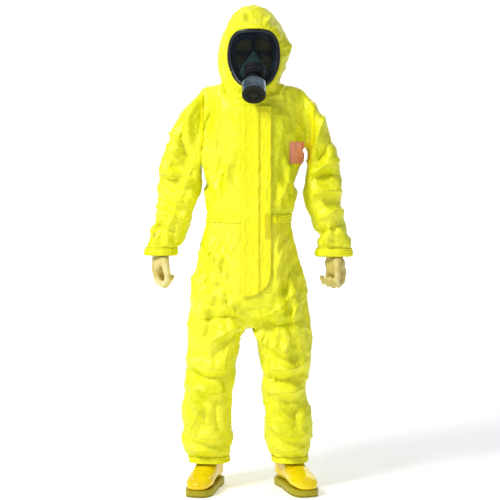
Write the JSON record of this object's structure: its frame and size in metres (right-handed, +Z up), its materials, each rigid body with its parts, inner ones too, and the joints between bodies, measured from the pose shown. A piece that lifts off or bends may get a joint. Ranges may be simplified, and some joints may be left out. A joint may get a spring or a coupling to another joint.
{
  "type": "chemical protective suit",
  "caption": "Hooded chemical protective coverall worn with a full-face respirator and filter canister, gloves and boots, standing empty.",
  "frame": {"origin": "on the floor, below the middle of the suit's width and depth", "axes": "+Z up, -Y the way the suit faces, +X towards the wearer's left hand"},
  "size_m": [0.7842, 0.4149, 1.829],
  "materials": {
    "coated_fabric": "papery coated non-woven, semi-matt, lemon yellow",
    "gathered_fabric": "coated fabric gathered on elastic",
    "seal_strip": "stitched hook-and-loop strip",
    "zip_cloth": "woven tape",
    "zip_plastic": "moulded zip",
    "label_orange": "bonded patch with plain bars",
    "glove_rubber": "dipped natural rubber, matt",
    "boot_rubber": "moulded, glossy golden yellow",
    "sole_rubber": "moulded, satin",
    "clear_lens": "clear moulded visor",
    "black_plastic": "fine-grained moulding",
    "black_rubber": "soft matt",
    "nose_cup_rubber": "glossy dark silicone",
    "bare_metal": "drawn can, satin",
    "filter_paper": "pleated glass-fibre paper",
    "charcoal": "packed granules"
  },
  "bodies": {
    "torso": {"bodice_back": "coated_fabric", "bodice_front_right": "coated_fabric", "bodice_front_left": "coated_fabric", "waist_elastic": "gathered_fabric", "trouser_seat": "coated_fabric", "placket": "coated_fabric", "placket_seal_strip": "seal_strip", "zip_tape": "zip_cloth", "zip_teeth": "zip_plastic", "chest_label": "label_orange", "waist_tab": "coated_fabric", "neck_fold": "coated_fabric", "right_shoulder_fold": "coated_fabric", "left_shoulder_fold": "coated_fabric", "right_hip_fold": "coated_fabric", "left_hip_fold": "coated_fabric"},
    "flap": {"storm_flap": "coated_fabric", "flap_seal_strip": "seal_strip"},
    "slider": {"zip_slider": "zip_plastic", "zip_puller": "zip_plastic"},
    "head": {"hood": "coated_fabric", "hood_face_elastic": "gathered_fabric", "visor": "clear_lens", "visor_frame": "black_plastic", "face_seal": "black_rubber", "nose_cup": "nose_cup_rubber", "filter_port": "black_plastic", "port_nut": "black_plastic", "inhale_valve": "black_rubber", "exhale_cover": "black_plastic", "head_harness": "black_rubber", "harness_buckles": "black_plastic"},
    "valve_disc": {"exhale_disc": "black_rubber"},
    "canister_washer": {"canister_washer": "black_rubber"},
    "canister": {"canister_body": "bare_metal", "canister_front": "black_plastic", "particle_filter": "filter_paper", "carbon_bed": "charcoal"},
    "right_upper_arm": {"right_upper_sleeve": "coated_fabric", "right_elbow_fold": "coated_fabric"},
    "right_forearm": {"right_lower_sleeve": "coated_fabric", "right_cuff_elastic": "gathered_fabric", "right_glove": "glove_rubber"},
    "right_upper_leg": {"right_thigh": "coated_fabric", "right_knee_fold": "coated_fabric"},
    "right_lower_leg": {"right_shin": "coated_fabric", "right_ankle_elastic": "gathered_fabric", "right_boot": "boot_rubber", "right_outsole": "sole_rubber"},
    "left_upper_arm": {"left_upper_sleeve": "coated_fabric", "left_elbow_fold": "coated_fabric"},
    "left_forearm": {"left_lower_sleeve": "coated_fabric", "left_cuff_elastic": "gathered_fabric", "left_glove": "glove_rubber"},
    "left_upper_leg": {"left_thigh": "coated_fabric", "left_knee_fold": "coated_fabric"},
    "left_lower_leg": {"left_shin": "coated_fabric", "left_ankle_elastic": "gathered_fabric", "left_boot": "boot_rubber", "left_outsole": "sole_rubber"}
  },
  "joints": [
    {"name": "head_turn", "type": "hinge", "parent": "torso", "child": "head", "pos_m": [0.02, 0.063, 1.545], "axis": [0, 0, 1], "range_deg": [-30, 30], "deforming": ["neck_fold"]},
    {"name": "canister_travel", "type": "slide", "parent": "head", "child": "canister_washer", "axis": [0, -0.6801, -0.7331], "range_m": [0, 0.0112]},
    {"name": "canister_turn", "type": "hinge", "parent": "canister_washer", "child": "canister", "pos_m": [0.02, -0.13645, 1.52548], "axis": [0, -0.6801, -0.7331], "range_deg": [0, 1080]},
    {"name": "exhale_lift", "type": "slide", "parent": "head", "child": "valve_disc", "axis": [0, -0.6801, -0.7331], "range_m": [0, 0.0025], "stiffness_N_per_m": 60, "springref_m": -0.002},
    {"name": "flap_open", "type": "hinge", "parent": "torso", "child": "flap", "pos_m": [-0.025, -0.1055, 1.103], "axis": [0, 0, -1], "range_deg": [0, 150]},
    {"name": "zip_slide", "type": "slide", "parent": "torso", "child": "slider", "axis": [0, 0, -1], "range_m": [0, 0.62]},
    {"name": "right_shoulder", "type": "hinge", "parent": "torso", "child": "right_upper_arm", "pos_m": [-0.232, 0.053, 1.4], "axis": [-1, 0, 0], "range_deg": [-30, 90], "deforming": ["right_shoulder_fold"]},
    {"name": "right_elbow", "type": "hinge", "parent": "right_upper_arm", "child": "right_forearm", "pos_m": [-0.28, 0.053, 1.13], "axis": [-1, 0, 0], "range_deg": [0, 85], "deforming": ["right_elbow_fold"]},
    {"name": "right_hip", "type": "hinge", "parent": "torso", "child": "right_upper_leg", "pos_m": [-0.111, 0.053, 0.88], "axis": [-1, 0, 0], "range_deg": [-15, 60], "deforming": ["right_hip_fold"]},
    {"name": "right_knee", "type": "hinge", "parent": "right_upper_leg", "child": "right_lower_leg", "pos_m": [-0.136, 0.053, 0.47], "axis": [1, 0, 0], "range_deg": [0, 75], "deforming": ["right_knee_fold"]},
    {"name": "left_shoulder", "type": "hinge", "parent": "torso", "child": "left_upper_arm", "pos_m": [0.266, 0.053, 1.4], "axis": [-1, 0, 0], "range_deg": [-30, 90], "deforming": ["left_shoulder_fold"]},
    {"name": "left_elbow", "type": "hinge", "parent": "left_upper_arm", "child": "left_forearm", "pos_m": [0.3, 0.053, 1.13], "axis": [-1, 0, 0], "range_deg": [0, 85], "deforming": ["left_elbow_fold"]},
    {"name": "left_hip", "type": "hinge", "parent": "torso", "child": "left_upper_leg", "pos_m": [0.119, 0.053, 0.88], "axis": [-1, 0, 0], "range_deg": [-15, 60], "deforming": ["left_hip_fold"]},
    {"name": "left_knee", "type": "hinge", "parent": "left_upper_leg", "child": "left_lower_leg", "pos_m": [0.139, 0.053, 0.47], "axis": [1, 0, 0], "range_deg": [0, 75], "deforming": ["left_knee_fold"]}
  ],
  "couplings": [
    {"joint": "canister_travel", "follows": "canister_turn", "m_per_rad": 0.00057773}
  ]
}
